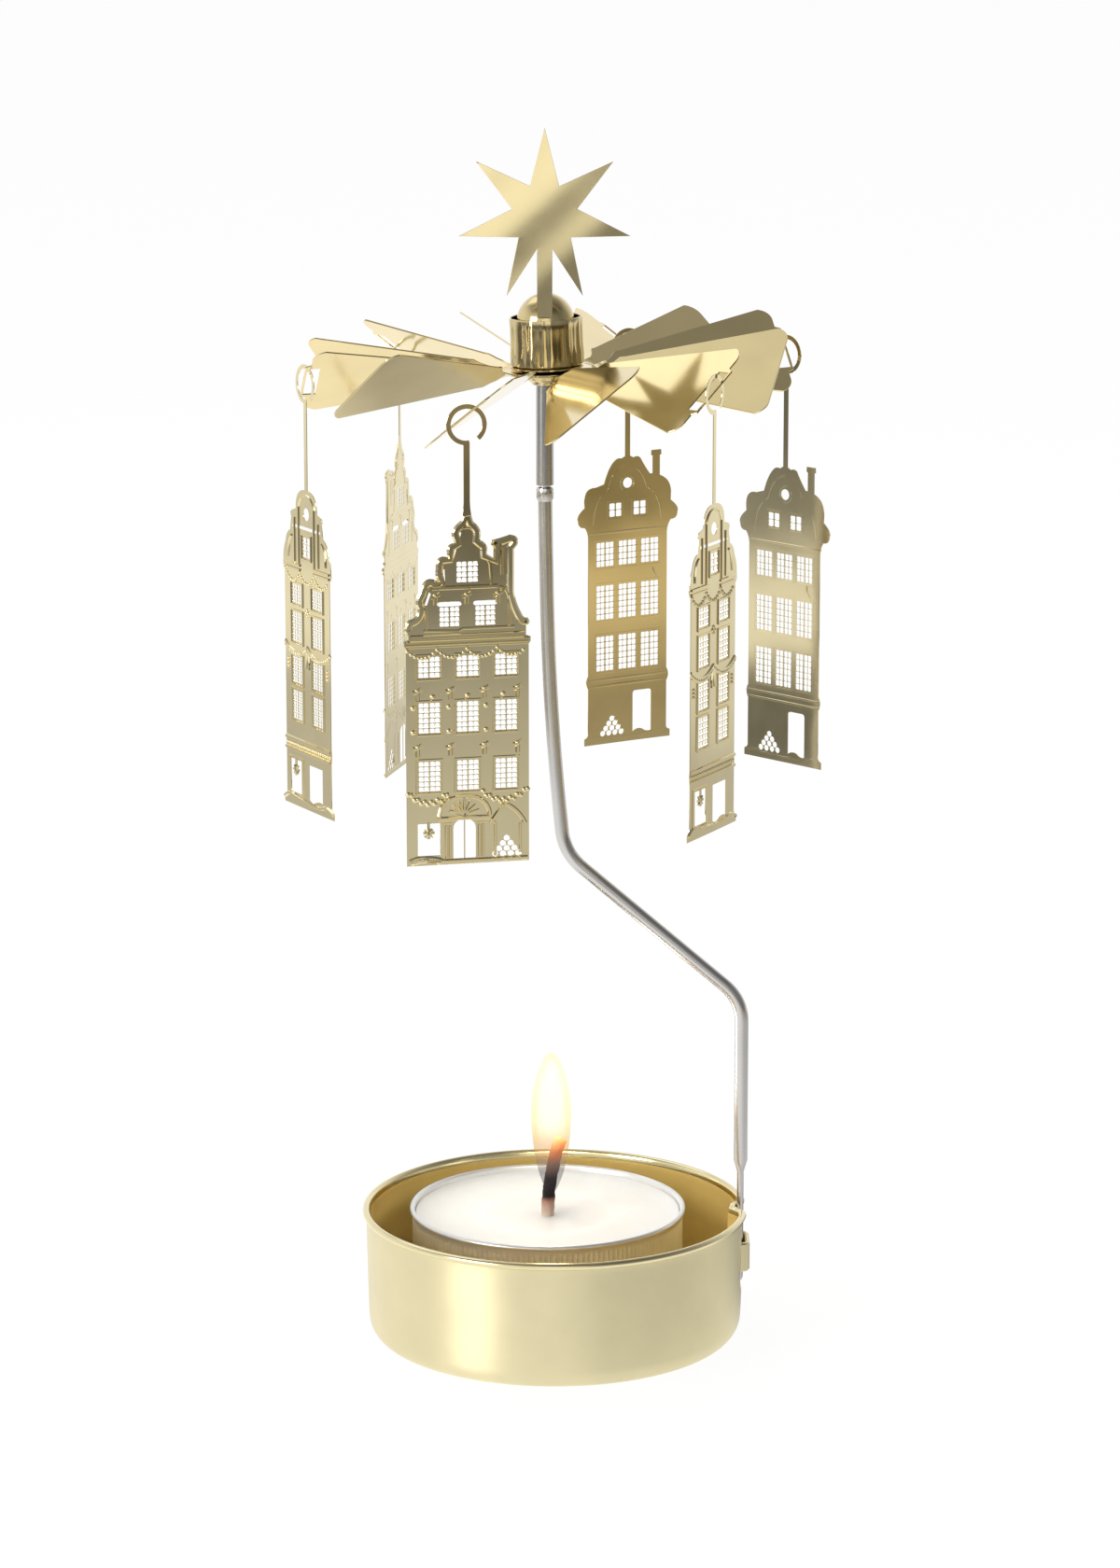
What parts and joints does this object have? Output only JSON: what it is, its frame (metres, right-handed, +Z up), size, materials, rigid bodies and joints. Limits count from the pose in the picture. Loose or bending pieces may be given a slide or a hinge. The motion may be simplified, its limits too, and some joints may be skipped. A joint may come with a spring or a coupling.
{
  "type": "rotating candle holder",
  "caption": "Gold metal tealight holder with a bent rod and a fan wheel that turns on a needle in the flame's warm air, with a star on top and flat townhouses hanging from its blades.",
  "frame": {"origin": "centre of the cup's flat underside", "axes": "+Z up towards the star, +X towards the rod's foot in the cup's wall, -Y towards the front"},
  "size_m": [0.0738, 0.0685, 0.1668],
  "materials": {
    "cup_gold": "satin",
    "sheet_gold": "polished",
    "steel": "satin",
    "aluminium": "satin",
    "wax": "smooth",
    "cotton": "charred"
  },
  "bodies": {
    "stand": {"base_cup": "cup_gold", "stand_rod": "steel", "pivot_sleeve": "steel", "pivot_needle": "steel"},
    "candle": {"tealight_cup": "aluminium", "tealight_wax": "wax", "wick": "cotton", "wick_tab": "aluminium"},
    "rotor": {"fan_wheel": "sheet_gold", "hub_dome": "sheet_gold", "hub_collar": "sheet_gold", "hub_eyelet": "sheet_gold", "star_topper": "sheet_gold"},
    "house_merchant_front": {"house_merchant_front": "sheet_gold"},
    "house_narrow_right": {"house_narrow_right": "sheet_gold"},
    "house_bell_right": {"house_bell_right": "sheet_gold"},
    "house_bell_back": {"house_bell_back": "sheet_gold"},
    "house_merchant_back": {"house_merchant_back": "sheet_gold"},
    "house_narrow_left": {"house_narrow_left": "sheet_gold"}
  },
  "joints": [
    {"name": "fan_spin", "type": "hinge", "parent": "stand", "child": "rotor", "pos_m": [-0.0013, 0, 0.14405], "axis": [0, 0, 1], "continuous": true},
    {"name": "candle_lift", "type": "slide", "parent": "stand", "child": "candle", "axis": [0, 0, 1], "range_m": [0, 0.03]},
    {"name": "merchant_front_swing", "type": "hinge", "parent": "rotor", "child": "house_merchant_front", "pos_m": [-0.01159, -0.03092, 0.13282], "axis": [0.7405, -0.2617, 0.619], "range_deg": [-15, 15]},
    {"name": "narrow_right_swing", "type": "hinge", "parent": "rotor", "child": "house_narrow_right", "pos_m": [0.02046, -0.02468, 0.13505], "axis": [0.5872, 0.5274, 0.6141], "range_deg": [-15, 15]},
    {"name": "bell_right_swing", "type": "hinge", "parent": "rotor", "child": "house_bell_right", "pos_m": [0.03107, 0.00624, 0.13626], "axis": [-0.1725, 0.7891, 0.5896], "range_deg": [-15, 15]},
    {"name": "bell_back_swing", "type": "hinge", "parent": "rotor", "child": "house_bell_back", "pos_m": [0.00968, 0.03092, 0.13387], "axis": [-0.7789, 0.2617, 0.57], "range_deg": [-15, 15]},
    {"name": "merchant_back_swing", "type": "hinge", "parent": "rotor", "child": "house_merchant_back", "pos_m": [-0.02244, 0.02468, 0.13394], "axis": [-0.6256, -0.5274, 0.5749], "range_deg": [-15, 15]},
    {"name": "narrow_left_swing", "type": "hinge", "parent": "rotor", "child": "house_narrow_left", "pos_m": [-0.03308, -0.00624, 0.13369], "axis": [0.1341, -0.7891, 0.5995], "range_deg": [-15, 15]}
  ]
}
